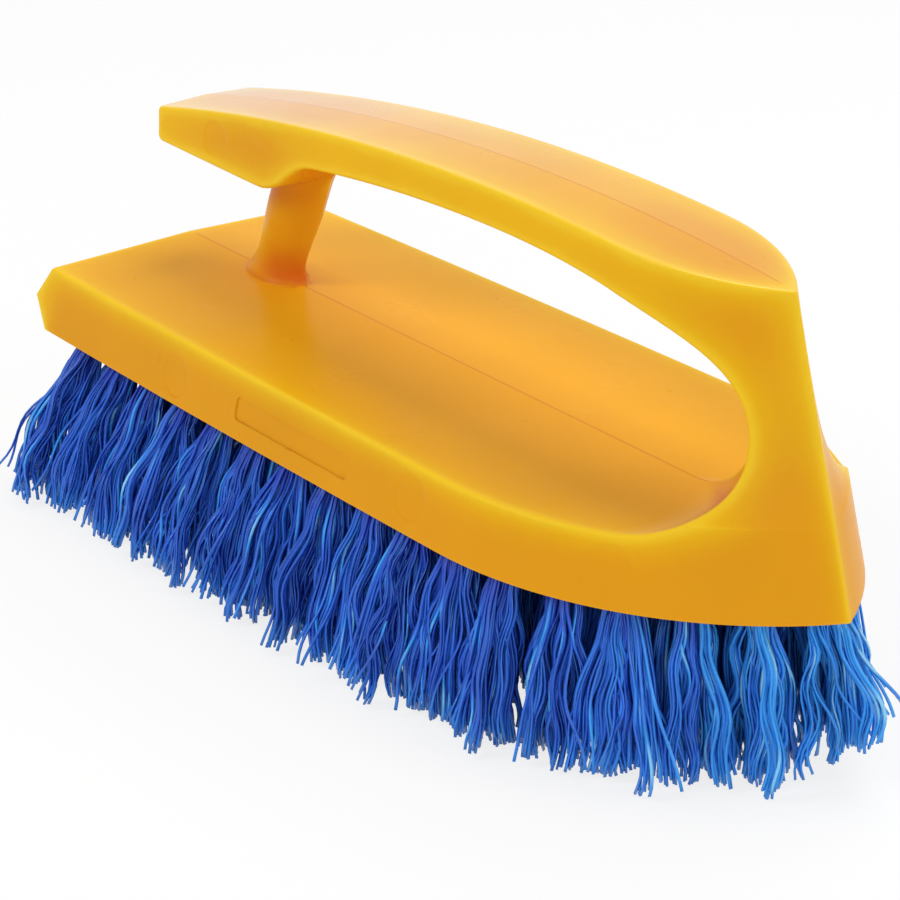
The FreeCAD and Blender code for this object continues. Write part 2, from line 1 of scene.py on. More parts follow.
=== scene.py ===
# %% [markdown]
# # A scrub brush with an iron-shaped handle
#
# One piece of moulded polypropylene is block, pillar, grip and strut at once. Seventeen rows of crimped
# blue filament are stapled into its underside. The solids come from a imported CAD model, and this lesson
# dresses them: first the camera, then the moulding, the bristles, their finishes, and the light.

import bpy
import numpy as np
from mathutils import Matrix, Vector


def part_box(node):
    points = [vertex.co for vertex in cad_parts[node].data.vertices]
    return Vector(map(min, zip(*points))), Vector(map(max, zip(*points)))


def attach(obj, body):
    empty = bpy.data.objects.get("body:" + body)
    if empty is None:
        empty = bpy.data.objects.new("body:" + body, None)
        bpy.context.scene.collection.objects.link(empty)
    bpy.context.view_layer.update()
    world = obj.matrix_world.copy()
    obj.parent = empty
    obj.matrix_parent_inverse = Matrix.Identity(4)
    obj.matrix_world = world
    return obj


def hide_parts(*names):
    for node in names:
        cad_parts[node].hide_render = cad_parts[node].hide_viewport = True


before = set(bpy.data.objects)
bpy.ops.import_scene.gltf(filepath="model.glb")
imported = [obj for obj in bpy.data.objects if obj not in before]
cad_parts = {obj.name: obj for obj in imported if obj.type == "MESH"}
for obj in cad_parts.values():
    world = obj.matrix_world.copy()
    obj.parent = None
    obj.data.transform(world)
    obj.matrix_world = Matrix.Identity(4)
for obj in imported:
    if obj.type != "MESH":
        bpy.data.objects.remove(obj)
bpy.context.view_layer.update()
block_low, block_high = (np.array(corner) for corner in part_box("handle_block"))
MM = 0.001
rows = sorted(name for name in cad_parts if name.startswith("tuft_row"))
print("block from", block_low, "to", block_high, "with", len(rows), "rows of tufts")

# %% [markdown]
# ## The camera
#
# The brush was photographed from its toe end, a little above the grip, with a long lens and the camera
# turned by under two degrees. An empty with a track constraint could aim a camera, but it can't hold
# that small turn, so the three axes are worked out here and written into the camera's matrix.


# %% Aim the camera
def turned(right, up, angle):
    """Two axes turned about the third: each is the cosine of itself and the sine of the other."""
    return np.cos(angle) * right + np.sin(angle) * up, np.cos(angle) * up - np.sin(angle) * right


def put(item, right, up, back, place):
    """Link an object into the scene, at a place and along three axes."""
    axes = np.eye(4)
    axes[:3] = np.column_stack([right, up, back, place])
    item.matrix_world = Matrix(axes.tolist())
    bpy.context.scene.collection.objects.link(item)


azimuth, elevation, roll = np.radians([49.098, 24.097, 1.831])
MIDDLE_FROM_HEEL, MIDDLE_HEIGHT = 78.7 * MM, 20.0 * MM
DISTANCE, SHIFT_LEFT, SHIFT_DOWN = 416.17 * MM, 4.536 * MM, 20.343 * MM
level_back = np.array([np.sin(azimuth), -np.cos(azimuth), 0.0])
back = np.cos(elevation) * level_back + np.array([0.0, 0.0, np.sin(elevation)])
right = np.array([np.cos(azimuth), np.sin(azimuth), 0.0])
right, up = turned(right, np.cross(back, right), roll)
middle_of_brush = np.array([block_low[0] + MIDDLE_FROM_HEEL, 0.0, block_low[2] + MIDDLE_HEIGHT])
eye = middle_of_brush + DISTANCE * back - SHIFT_LEFT * right - SHIFT_DOWN * up

camera = bpy.data.objects.new("camera", bpy.data.cameras.new("camera"))
camera.data.sensor_width = 36.0
camera.data.lens = 112.0
camera.data.clip_start = 0.01
put(camera, right, up, back, eye)
bpy.context.scene.camera = camera
print("camera at", eye.round(3))

# %% [markdown]
# ## Where the tufts stand
#
# Every tuft has its own blind hole in the underside. The CAD model already holds each tuft as a plain
# eight-sided bundle, so its centre and width at the block and at the tips are read from those corners
# instead of being typed again. A staple is a plain bar, so a row's staples give its number of tufts.

# %% Read the tufts' places
SAME_LEVEL = 0.01 * MM
STAPLE_CORNERS = 8


def corners_of(node):
    """All corners of a CAD node as an array."""
    flat = np.empty(len(node.data.vertices) * 3)
    node.data.vertices.foreach_get("co", flat)
    return flat.reshape(-1, 3)


def tuft_rings(row, level):
    """Centres and radius of a row's tufts at a level: evenly spread between the two outermost rings."""
    corners = corners_of(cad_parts[row])
    ring = corners[np.abs(corners[:, 2] - level) < SAME_LEVEL]
    low, high = ring.min(0), ring.max(0)
    radius = (high[0] - low[0]) / 2
    staples = corners_of(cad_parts[row.replace("tuft", "staple")])
    count = len(np.unique(staples.round(6), axis=0)) // STAPLE_CORNERS
    across = np.linspace(low[1] + radius, high[1] - radius, count)
    return np.column_stack([np.full(count, (low[0] + high[0]) / 2), across]), radius


underside = block_low[2]
plans = {row: (*tuft_rings(row, underside), *tuft_rings(row, 0.0)) for row in rows}
roots = np.concatenate([plan[0] for plan in plans.values()])
_, root_radius, _, tip_radius = plans[rows[0]]
print(len(roots), "tufts, in the first row of radius", root_radius.round(5), "to", tip_radius.round(5))

# %% [markdown]
# ## The moulding's skin
#
# The real handle leaves its mould as one smooth skin. The CAD mesh has its exact shape and normals, but
# only a few corners on its broad faces, too few to carry relief or a change of colour. A voxel remesh
# would give more corners and blunt every edge. So the triangles of a merged copy are cut smaller where
# they show: round after round, longer edges are halved, and each new corner takes its normal from its
# neighbours.

# %% Read the block as triangles
HOLE_RADIUS = 2.36 * MM
HOLE_DEPTH = 7.3 * MM
SKIM = 0.02 * MM


def merged_triangles(node):
    """The corners with doubles made one, the triangles, and the normals at the triangles' corners."""
    mesh = node.data
    ends = np.empty(len(mesh.loops), int)
    mesh.loops.foreach_get("vertex_index", ends)
    normals = np.empty(len(mesh.loops) * 3)
    mesh.corner_normals.foreach_get("vector", normals)
    loose = corners_of(node)
    _, first, merged = np.unique(loose.round(6), axis=0, return_index=True, return_inverse=True)
    triangles = merged.reshape(-1)[ends].reshape(-1, 3)
    whole = (triangles != np.roll(triangles, 1, axis=1)).all(axis=1)
    return loose[first], triangles[whole], normals.reshape(-1, 3, 3)[whole]


def in_holes(places):
    """Whether places lie in the tufts' holes: near a tuft's axis, and less than the holes' depth up."""
    near = np.linalg.norm(places[:, None, :2] - roots[None], axis=2).min(axis=1) < HOLE_RADIUS
    return near & (places[:, 2] > underside + SKIM) & (places[:, 2] < underside + HOLE_DEPTH)


points, triangles, skin_normals = merged_triangles(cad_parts["handle_block"])
middles = points[triangles].mean(axis=1)
hidden = in_holes(middles) | (middles[:, 2] < underside + SKIM)
print("block:", len(points), "corners,", len(triangles), "triangles,", int(hidden.sum()), "out of sight")

# %% Say how long an edge may be
# Pin marks by distance from the heel's edge and height over the underside. All are in millimetres.
PIN_MARKS = ((41.1, 4.4), (98.4, 5.3), (131.2, 5.4), (25.4, 34.4))
PIN_RADIUS = 3.3
RIM_BAND = 0.8
RIM_EDGE, PLAIN_EDGE = 0.5, 1.3


def from_heel_edge(places):
    """Distance from the heel's edge, in millimetres."""
    return (places[:, 0] - block_low[0]) / MM


def over_underside(places):
    """Height over the underside, in millimetres."""
    return (places[:, 2] - underside) / MM


def longest_edge(places):
    """Longest edge allowed: shorter where the distance to a pin mark's rim is within its band."""
    x, z = from_heel_edge(places), over_underside(places)
    rim = np.min([np.abs(np.hypot(x - px, z - pz) - PIN_RADIUS) for px, pz in PIN_MARKS], axis=0)
    return np.where(rim < RIM_BAND, RIM_EDGE, PLAIN_EDGE) * MM


print(int((longest_edge(points) < PLAIN_EDGE * MM).sum()), "corners take the shorter limit")

# %% Halve the long edges
# The triangles that take the place of one with none, one, two or three cut edges. Nought to two are its
# corners, and three to five are the middles of the edges that start at them.
SHARES = (
    np.array([[0, 1, 2]]),
    np.array([[0, 3, 2], [3, 1, 2]]),
    np.array([[3, 1, 4], [0, 3, 4], [0, 4, 2]]),
    np.array([[0, 3, 5], [3, 1, 4], [5, 4, 2], [3, 4, 5]]),
)
ROUNDS = 9


def halved(points, triangles, normals, hidden):
    """One round of cutting: each visible edge over its limit gets a point at its middle.

    A triangle with one, two or three such edges becomes two, three or four. It is turned first, so that
    a single cut edge comes first, and a single whole one last. The normal at a middle is the mean of its
    ends', made a unit long.
    """
    ends = np.sort(np.stack([triangles, np.roll(triangles, -1, axis=1)], axis=2), axis=2)
    codes, edges = np.unique(ends[..., 0] * len(points) + ends[..., 1], return_inverse=True)
    edges = edges.reshape(-1, 3)
    first, second = points[codes // len(points)], points[codes % len(points)]
    middle = (first + second) / 2
    shown = np.bincount(edges[~hidden].ravel(), minlength=len(codes)) > 0
    cut = shown & (np.linalg.norm(second - first, axis=1) > longest_edge(middle))
    numbers = len(points) + np.cumsum(cut) - 1
    cuts = cut[edges]
    count = cuts.sum(axis=1)
    start = np.where(count == 2, cuts.argmin(axis=1) + 1, cuts.argmax(axis=1))
    order = (start[:, None] + np.arange(3)) % 3
    own = np.take_along_axis(triangles, order, 1)
    six = np.concatenate([own, numbers[np.take_along_axis(edges, order, 1)]], 1)
    at_corner = np.take_along_axis(normals, order[:, :, None], 1)
    at_middle = at_corner + np.roll(at_corner, -1, axis=1)
    at_middle /= np.linalg.norm(at_middle, axis=2, keepdims=True)
    six_normals = np.concatenate([at_corner, at_middle], 1)
    groups = [(np.nonzero(count == made)[0], share) for made, share in enumerate(SHARES)]
    triangles = np.concatenate([six[which][:, share].reshape(-1, 3) for which, share in groups])
    normals = np.concatenate([six_normals[which][:, share].reshape(-1, 3, 3) for which, share in groups])
    hidden = np.concatenate([np.repeat(hidden[which], len(share)) for which, share in groups])
    return np.concatenate([points, middle[cut]]), triangles, normals, hidden


for _ in range(ROUNDS):
    points, triangles, skin_normals, hidden = halved(points, triangles, skin_normals, hidden)
print("refined skin:", len(points), "corners,", len(triangles), "triangles")

# %% Face areas and corner normals
TINY = 1e-12


def area_vectors(points, triangles):
    """Half the cross product of two sides of each triangle: its area, along its normal."""
    first, second, third = (points[triangles[:, corner]] for corner in range(3))
    return np.cross(second - first, third - first) / 2


def point_normals(points, triangles):
    """Unit normals at the points: the area vectors of the triangles round each point, added up."""
    vectors = np.repeat(area_vectors(points, triangles), 3, axis=0)
    around = triangles.ravel()
    total = np.stack([np.bincount(around, column, len(points)) for column in vectors.T], axis=1)
    return total / np.maximum(np.linalg.norm(total, axis=1, keepdims=True), TINY)


normals = point_normals(points, triangles)
skin_area = np.linalg.norm(area_vectors(points, triangles), axis=1).sum()
print("skin area", (skin_area / MM ** 2).round(), "mm2")

# %% [markdown]
# ## Marks of the ejector pins
#
# The pins that push the handle out of its mould leave faint round marks on its sides. A bump map could
# draw them, but they would vanish in the exported mesh. Each is a very shallow step in one smooth skin,
# so it is a mask over the points, between nought and one, that presses them in along their normals.

# %% Press in the pin marks
PIN_DEPTH = 0.1 * MM
PIN_BLUR = 0.2
FACING_SIDE = 0.6


def smooth_step(values, low, high):
    """Nought below low, one above high, and three t squared minus two t cubed between them."""
    t = np.clip((values - low) / (high - low), 0.0, 1.0)
    return t * t * (3.0 - 2.0 * t)


from_heel, above = from_heel_edge(points), over_underside(points)
within = [PIN_RADIUS - np.hypot(from_heel - x, above - z) for x, z in PIN_MARKS]
pins = sum(smooth_step(reach, -PIN_BLUR, PIN_BLUR) for reach in within)
pins = pins * (np.abs(normals[:, 1]) > FACING_SIDE)
pressed = points - normals * (PIN_DEPTH * pins)[:, None]
skin_normals = skin_normals + (point_normals(pressed, triangles) - normals)[triangles]
points = pressed
print("pin marks take", int(pins.sum()), "points")

# %% [markdown]
# ## Steps of the side panels
#
# Each side of the block has a slightly sunk panel, and a real mould's corners round its steps a little.
# The steps are already in the CAD mesh. A Bevel modifier could round them, but would cut up the skin
# again. So the shape stays, and the normals on the steps lean towards the wall's, which shades them soft.

# %% Round the panels' steps
PANEL_MIDDLE, PANEL_REACH = (70.8, 4.7), (15.0, 2.4)
OFF_CENTRE = 20.0 * MM
WALL_NORMAL = np.array([0.0, 0.98, 0.18])
OWN_SHARE, WALL_SHARE = 0.3, 0.7

by_panel = np.abs(points[:, 1]) > OFF_CENTRE
for values, middle, reach in zip((from_heel, above), PANEL_MIDDLE, PANEL_REACH):
    by_panel &= np.abs(values - middle) < reach
wall = np.where(points[:, 1:2] < 0, WALL_NORMAL * (1.0, -1.0, 1.0), WALL_NORMAL)
leaning = OWN_SHARE * skin_normals + WALL_SHARE * wall[triangles]
skin_normals = np.where(by_panel[triangles][..., None], leaning, skin_normals)
print("panels take", int(by_panel.sum()), "points")

# %% [markdown]
# ## Painted glow and shade on the plastic
#
# Light creeps through polypropylene, so its edges look lighter and yellower than its broad faces, and
# its hollows deeper. Here that glow and shade are painted into the colour. A shader could look for edges
# at render time, but an exported model would lose that. Here each point is compared with the middle of
# the skin round it: on an edge it stands proud of that middle, in a hollow it lies below. A wide
# neighbourhood gives the painted glow of whole rims and the painted shade of hollows, a narrow one the
# painted line of an edge.

# %% Measure how proud each point stands
RIM_CELL, RIM_ROUNDS = 1.5 * MM, 8
EDGE_CELL, EDGE_ROUNDS = 0.8 * MM, 4
TINY_AREA = 1e-18


def blurred(grid, rounds):
    """Each round, along each axis: a quarter of both neighbours and half of the cell itself."""
    for _ in range(rounds):
        for axis in range(3):
            grid = (np.roll(grid, 1, axis) + 2 * grid + np.roll(grid, -1, axis)) / 4
    return grid


def looked_up(grid, places):
    """Values between cell centres: the eight cells round each place, weighted by nearness."""
    base = np.floor(places).astype(int)
    part = places - base
    total = np.zeros(len(places))
    for corner in np.ndindex(2, 2, 2):
        weight = np.where(corner, part, 1 - part).prod(axis=1)
        total += weight * grid[tuple((base + corner).T)]
    return total


def standing_proud(points, normals, triangles, cell, rounds):
    """Height of each point above the area-weighted middle of the skin near it, in millimetres."""
    margin = (rounds + 2) * cell
    origin = points.min(0) - margin
    shape = tuple(np.ceil((points.max(0) + margin - origin) / cell).astype(int))
    middles = (points[triangles].mean(axis=1) - origin) / cell
    areas = np.linalg.norm(area_vectors(points, triangles), axis=1)
    index = np.ravel_multi_index(np.round(middles).astype(int).T, shape)
    places = (points - origin) / cell
    grids = [np.bincount(index, weight, np.prod(shape)) for weight in (areas, *(areas * middles.T))]
    sums = [looked_up(blurred(grid.reshape(shape), rounds), places) for grid in grids]
    nearby = np.stack(sums[1:], axis=1) / np.maximum(sums[0], TINY_AREA)[:, None]
    return ((places - nearby) * normals).sum(axis=1) * cell / MM


shown = triangles[~hidden]
out_of_sight = np.ones(len(points), bool)
out_of_sight[shown] = False
outward = point_normals(points, shown)
# Proud points carry a painted glow on rims and edges, low points a painted shade in hollows.
painted_rim_glow_and_shade = standing_proud(points, outward, shown, RIM_CELL, RIM_ROUNDS)
painted_edge_glow = standing_proud(points, outward, shown, EDGE_CELL, EDGE_ROUNDS)
painted_rim_glow_and_shade, painted_edge_glow = (np.where(out_of_sight, 0.0, glow) for glow in (painted_rim_glow_and_shade, painted_edge_glow))
print("rims from", painted_rim_glow_and_shade.min().round(2), "to", painted_rim_glow_and_shade.max().round(2), "mm")
print("edges to", painted_edge_glow.max().round(2), "mm")

# %% [markdown]
# ## Where shade and light are painted, and where it is polished
#
# Little light reaches the strut under the grip, so it takes painted shade, the floor of the opening is
# lit evenly and takes painted light, and hands have polished the grip's back. Painting such zones by hand
# would have to be done again after each change of shape. They are worked out from heights and slopes
# instead, as soft masks between nought and one.

# %% Mask the strut's painted shade, the floor's painted light and the grip's back
# Lows and highs of smooth steps: heights and distances in millimetres, slopes as the normal's rise.
STRUT_PLACE = 41.0
STRUT_REACH = (9.0, 16.0)
FLOOR_HEIGHT = (9.5, 11.0)
DEEP_SHADE, DEEP_HEIGHT = 0.6, (12.0, 20.0)
GRIP_HEIGHT = (27.0, 31.0)
STEEP_SLOPE, LEVEL_SLOPE, BACK_SLOPE = (0.3, 0.8), (0.8, 0.97), (0.55, 0.95)
OPEN_HEIGHT = (16.0, 22.0)
BACK_HEIGHT = (29.0, 34.0)
HEEL_POLISH, LESS_POLISH, POLISH_LENGTH = 0.85, 0.45, (30.0, 110.0)

rise = outward[:, 2]
strut_shade = smooth_step(above, *FLOOR_HEIGHT) * (1 - DEEP_SHADE * smooth_step(above, *DEEP_HEIGHT))
strut_shade = strut_shade * (1 - smooth_step(above, *GRIP_HEIGHT))
off_strut = np.hypot(from_heel - STRUT_PLACE, points[:, 1] / MM)
strut_shade = strut_shade * (1 - smooth_step(off_strut, *STRUT_REACH))
strut_shade = strut_shade * (1 - smooth_step(rise, *STEEP_SLOPE))
# The floor of the opening, level and low, takes painted light.
painted_floor_light = smooth_step(rise, *LEVEL_SLOPE) * (1 - smooth_step(above, *OPEN_HEIGHT))
polish = smooth_step(rise, *BACK_SLOPE) * smooth_step(above, *BACK_HEIGHT)
polish = polish * (HEEL_POLISH - LESS_POLISH * smooth_step(from_heel, *POLISH_LENGTH))
masks = {"painted_rim_glow_and_shade": painted_rim_glow_and_shade, "painted_edge_glow": painted_edge_glow, "painted_floor_light": painted_floor_light,
         "shade": strut_shade, "polish": polish}
print("means:", {name: float(values.mean().round(3)) for name, values in masks.items()})

# %% [markdown]
# ## The moulding as an object
#
# The handle is one piece, so it becomes one mesh. from_pydata would take the points as Python lists, but
# foreach_set takes the arrays as they are and is faster. The masks go along as attributes for the
# material, and the CAD normals as custom normals, which keep flat faces flat and edges crisp.


# %% Put the skin into a mesh
def mesh_from(name, points, *face_sets):
    """A smooth-shaded mesh from points and arrays of faces, each with its own number of corners."""
    mesh = bpy.data.meshes.new(name)
    corners = np.concatenate([faces.ravel() for faces in face_sets])
    sizes = np.concatenate([np.full(len(faces), faces.shape[1]) for faces in face_sets])
    mesh.vertices.add(len(points))
    mesh.vertices.foreach_set("co", points.ravel())
    mesh.loops.add(len(corners))
    mesh.loops.foreach_set("vertex_index", corners)
    mesh.polygons.add(len(sizes))
    mesh.polygons.foreach_set("loop_start", np.cumsum(sizes) - sizes)
    mesh.polygons.foreach_set("use_smooth", np.ones(len(sizes), bool))
    mesh.update(calc_edges=True)
    return mesh


def piece_from(name, mesh, replaced):
    """An object for a mesh, which rides on the brush and stands for a CAD node."""
    piece = bpy.data.objects.new(name, mesh)
    bpy.context.scene.collection.objects.link(piece)
    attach(piece, "root")
    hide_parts(replaced)
    return piece


moulding = piece_from("moulding", mesh_from("moulding", points, triangles), "handle_block")
for name, values in masks.items():
    layer = moulding.data.attributes.new(name, "FLOAT", "POINT")
    layer.data.foreach_set("value", values.astype(np.float32))
skin_normals /= np.linalg.norm(skin_normals, axis=2, keepdims=True)
moulding.data.normals_split_custom_set(skin_normals.reshape(-1, 3).tolist())
print("moulding has", len(moulding.data.polygons), "faces")

# %% [markdown]
# ## The bristles
#
# Each tuft is a bundle of crimped filament, folded over a staple and cut to length. Hair particles would
# be quick, but they aren't meshes. So every filament is a thin three-sided tube along a path: it leaves
# its hole straight, fans out to the tips, and waves with a pitch of ten to fifteen millimetres.
# Filaments of one tuft cling together in locks that share their wave, as they do on the real brush, and
# a few break loose and bend outwards.

# %% Values for the filament
LOCKS = 12
IN_LOCK = 10
JOINTS = 18
SIDES = 3
RADIUS = 0.27 * MM
ALONG = np.linspace(0, 1, JOINTS + 1)
GOLDEN_ANGLE = np.pi * (3.0 - np.sqrt(5.0))
draw = np.random.default_rng(7)
print(LOCKS * IN_LOCK, "filaments in a tuft, each of", JOINTS * SIDES, "faces and two end caps")

# %% Spread the filaments over their tufts
LOCK_IN_HOLE, LOCK_AT_TIP = 0.6 * MM, 1.15 * MM
FAN_OUT = 1.08
LOCK_STRAYS, OWN_STRAYS = 1.2 * MM, 0.25 * MM


def in_disc(angle, reach):
    """Points of a disc from their direction and distance."""
    return np.column_stack([np.cos(angle), np.sin(angle)]) * reach[:, None]


def any_angle(count):
    """Directions drawn from the whole turn."""
    return draw.uniform(0, 2 * np.pi, count)


def spread(root, root_radius, tip, tip_radius):
    """The tuft of each lock and the lock of each filament, the locks' tips, and the filaments' two ends.

    Locks follow each other round a tuft's disc by the golden angle, at the square root of their rank. A
    filament has a place of its own in its lock's smaller disc, and both stray a little at the tip.
    """
    tuft = np.repeat(np.arange(len(root)), LOCKS)
    rank = np.tile(np.arange(LOCKS), len(root))
    spot = in_disc(rank * GOLDEN_ANGLE + any_angle(len(root))[tuft], np.sqrt((rank + 0.5) / LOCKS))
    lock = np.repeat(np.arange(len(tuft)), IN_LOCK)
    own = in_disc(any_angle(len(lock)), np.sqrt(draw.uniform(0, 1, len(lock))))
    lock_root = root[tuft] + spot * (root_radius - LOCK_IN_HOLE)
    lock_tip = tip[tuft] + spot * tip_radius * FAN_OUT + draw.normal(0, LOCK_STRAYS, (len(tuft), 2))
    begin = lock_root[lock] + own * LOCK_IN_HOLE
    finish = lock_tip[lock] + own * LOCK_AT_TIP + draw.normal(0, OWN_STRAYS, (len(lock), 2))
    return tuft, lock, lock_tip, begin, finish


print("a lock takes up", (LOCK_IN_HOLE / root_radius).round(2), "of its hole's radius")

# %% [markdown]
# ## Loose ends and the trim
#
# A brush is trimmed level when it is made, but use loosens some ends and wears others. Combing particle
# hair could show that, or moving tips by hand. Here every filament draws its own small differences from
# one seeded generator, so each run gives the same brush.

# %% Loosen some ends and wear the toe's far corner
# FAR_ALONG, and LIT_LENGTH further down, are millimetres from the heel's edge.
LOOSE_STRAYS, LOOSE_BEND, LOOSE_RISE = 1.5 * MM, (1.5 * MM, 7.0 * MM), 0.35
TRIM, LOCK_TRIM, OWN_TRIM = 0.3 * MM, 0.7 * MM, 0.6 * MM
FAR_ALONG, FAR_ACROSS = (105.0, 132.0), (2.0 * MM, 14.0 * MM)
DRAWN_IN = np.array([1.5, 6.5]) * MM
WORN_CORNER, WORN_FROM, WORN_BY = np.array([0.66, 0.75]), (46.0 * MM, 60.0 * MM), 7.0 * MM


def trimmed(root, tip, tuft, lock, finish, loose_share):
    """How far filaments bend away, where they finish, and how high they end.

    A loose one bends the way its tuft leans, and its end comes up by a share of that. An end's height
    over the floor adds a trim of its lock and one of its own. Along the far side, the tufts near the
    toe are drawn in, and the ends are worn shorter the further they reach to that corner.
    """
    tuft_of_filament = tuft[lock]
    away = (tip - root)[tuft_of_filament] + draw.normal(0, LOOSE_STRAYS, (len(lock), 2))
    away /= np.linalg.norm(away, axis=1, keepdims=True)
    loose = draw.uniform(0, 1, len(lock)) < loose_share
    bend = np.where(loose, draw.uniform(*LOOSE_BEND, len(lock)), 0.0)
    lock_end = np.abs(draw.normal(0, LOCK_TRIM, len(tuft)))
    end = TRIM + lock_end[lock] + np.abs(draw.normal(0, OWN_TRIM, len(lock))) + LOOSE_RISE * bend
    far_side = smooth_step(from_heel_edge(root), *FAR_ALONG) * smooth_step(root[:, 1], *FAR_ACROSS)
    finish = finish - far_side[tuft_of_filament][:, None] * DRAWN_IN
    bent = away * bend[:, None]
    end = end + WORN_BY * smooth_step((finish + bent) @ WORN_CORNER, *WORN_FROM)
    return bent, finish, end


worn = smooth_step(roots @ WORN_CORNER, *WORN_FROM) > 0
print(int(worn.sum()), "tufts stand where the corner is worn")

# %% [markdown]
# ## The crimp
#
# Rollers crimp the filament before it is cut, so that it holds its place and carries water. A Wave or a
# Displace modifier would move neighbours alike. Sine waves worked out per lock let the filaments of a
# lock run side by side, and each lock wander on its own.

# %% Wave the filaments
FIRST_HEIGHT = underside + 1.5 * MM
FAN_POWER = 1.7
PITCH, PITCH_VARIES = (10.5 * MM, 15.0 * MM), 0.04
PHASE_VARIES, SWING_VARIES = 0.25, 0.2
WAVE, WAVE_VARIES, WAVE_FADES_IN = (0.35 * MM, 0.85 * MM), (0.8, 1.2), (0.03, 0.3)
CROSS_SHARE, CROSS_PACE, CROSS_PHASE = 0.5, 0.61, 1.0


def waved(begin, finish, bent, end, lock, locks):
    """Points along each filament, s running from nought in its hole to one at its tip.

    Sideways, a filament goes the share one minus (one minus s) to a power of the way, so it fans out
    early and then hangs, and a loose one bends by the square of s. A sine wave, and a weaker and slower
    one across it, fade in below the hole. The filaments of a lock share their phase, pitch, strength and
    direction of wave, each with a little of its own.
    """
    total = len(lock)
    height = FIRST_HEIGHT + (end - FIRST_HEIGHT)[:, None] * ALONG
    flat = begin[:, None] + (finish - begin)[:, None] * (1 - (1 - ALONG) ** FAN_POWER)[None, :, None]
    flat = flat + bent[:, None] * (ALONG ** 2)[None, :, None]
    pitch = draw.uniform(*PITCH, locks)[lock] * draw.normal(1, PITCH_VARIES, total)
    phase = any_angle(locks)[lock] + draw.normal(0, PHASE_VARIES, total)
    swing = (draw.uniform(0, np.pi, locks)[lock] + draw.normal(0, SWING_VARIES, total))[:, None]
    strength = (draw.uniform(*WAVE, locks)[lock] * draw.uniform(*WAVE_VARIES, total))[:, None]
    strength = strength * smooth_step(ALONG, *WAVE_FADES_IN)
    turn = 2 * np.pi * (FIRST_HEIGHT - height) / pitch[:, None] + phase[:, None]
    wave = strength * np.sin(turn)
    cross = CROSS_SHARE * strength * np.sin(CROSS_PACE * turn + CROSS_PHASE)
    x = flat[..., 0] + wave * np.cos(swing) - cross * np.sin(swing)
    y = flat[..., 1] + wave * np.sin(swing) + cross * np.cos(swing)
    return np.stack([x, y, height], axis=2)


print("filaments start", FIRST_HEIGHT.round(4), "m over the floor")

# %% [markdown]
# ## Light and dark filaments
#
# Dyed filament varies from lot to lot, and a smooth one glints where it faces the light. Hundreds of
# materials could hold the shades. One number per joint does it with a single material: it grows from
# dark to light dye, then to painted light round the toe, then to a painted glint, and is kept on the UV
# map.

# %% Shade the filaments
LOCK_SHADE, OWN_SHADE = 0.55, 0.45
LIT_LENGTH = (118.0, 160.0)
GLINT_SHARE, GLINT, GLINT_PLACE, GLINT_WIDTH = 0.3, (0.7, 2.0), (0.1, 0.9), 0.12


def shade_along(lock, lock_tip):
    """A shade per joint: its lock's and its own, painted light towards the toe, and a painted glint's
    bell.
    """
    total = len(lock)
    shade = LOCK_SHADE * draw.uniform(0, 1, len(lock_tip))[lock] + OWN_SHADE * draw.uniform(0, 1, total)
    # Painted light towards the toe, where light gets through the tufts.
    painted_toe_light = smooth_step(from_heel_edge(lock_tip), *LIT_LENGTH)[lock]
    # A painted glint on some filaments, for part of their length.
    glint = np.where(draw.uniform(0, 1, total) < GLINT_SHARE, draw.uniform(*GLINT, total), 0.0)
    place = draw.uniform(*GLINT_PLACE, total)[:, None]
    lit = glint[:, None] * np.exp(-((ALONG - place) / GLINT_WIDTH) ** 2)
    return (shade + painted_toe_light)[:, None] + lit


lit_roots = smooth_step(from_heel_edge(roots), *LIT_LENGTH) > 0
print(int(lit_roots.sum()), "tufts are lit through at the toe")

# %% [markdown]
# ## From paths to tubes
#
# A filament is round, about half a millimetre thick, and too thin for its sides to be counted. Curve
# objects with a bevel would draw it, but thousands of them are slow. A triangle carried along each path,
# shaded smooth, looks round from here and keeps the faces few.


# %% Tubes round the paths
def tubes(paths, radius):
    """Three-sided tubes: at each path point, corners a radius away along two normals of the path.

    The first normal is the path's tangent crossed with a level direction of the filament's own, the
    second is the tangent crossed with the first. Strips of faces join the rings, and a triangle closes
    each end.
    """
    total, steps = paths.shape[:2]
    tangent = np.gradient(paths, axis=1)
    tangent /= np.linalg.norm(tangent, axis=2, keepdims=True)
    heading = any_angle(total)
    level = np.stack([np.cos(heading), np.sin(heading), np.zeros(total)], axis=1)[:, None]
    first = np.cross(tangent, np.broadcast_to(level, tangent.shape))
    first /= np.linalg.norm(first, axis=2, keepdims=True)
    second = np.cross(tangent, first)
    spoke = 2 * np.pi * np.arange(SIDES) / SIDES
    ring = first[:, :, None] * np.cos(spoke)[:, None] + second[:, :, None] * np.sin(spoke)[:, None]
    corners = paths[:, :, None] + radius[:, None, None, None] * ring
    index = np.arange(total * steps * SIDES).reshape(total, steps, SIDES)
    after = np.roll(index, -1, axis=2)
    strips = np.stack([index[:, :-1], after[:, :-1], after[:, 1:], index[:, 1:]], axis=3)
    ends = np.concatenate([index[:, 0, ::-1], index[:, -1]])
    return corners.reshape(-1, 3), strips.reshape(-1, 4), ends


widest_row = max(len(plan[0]) for plan in plans.values())
print("the widest row takes", widest_row * LOCKS * IN_LOCK, "tubes")

# %% Build every row
END_ROWS_LOOSE, OTHERS_LOOSE = 0.10, 0.04
THICKNESS_VARIES = (0.85, 1.15)

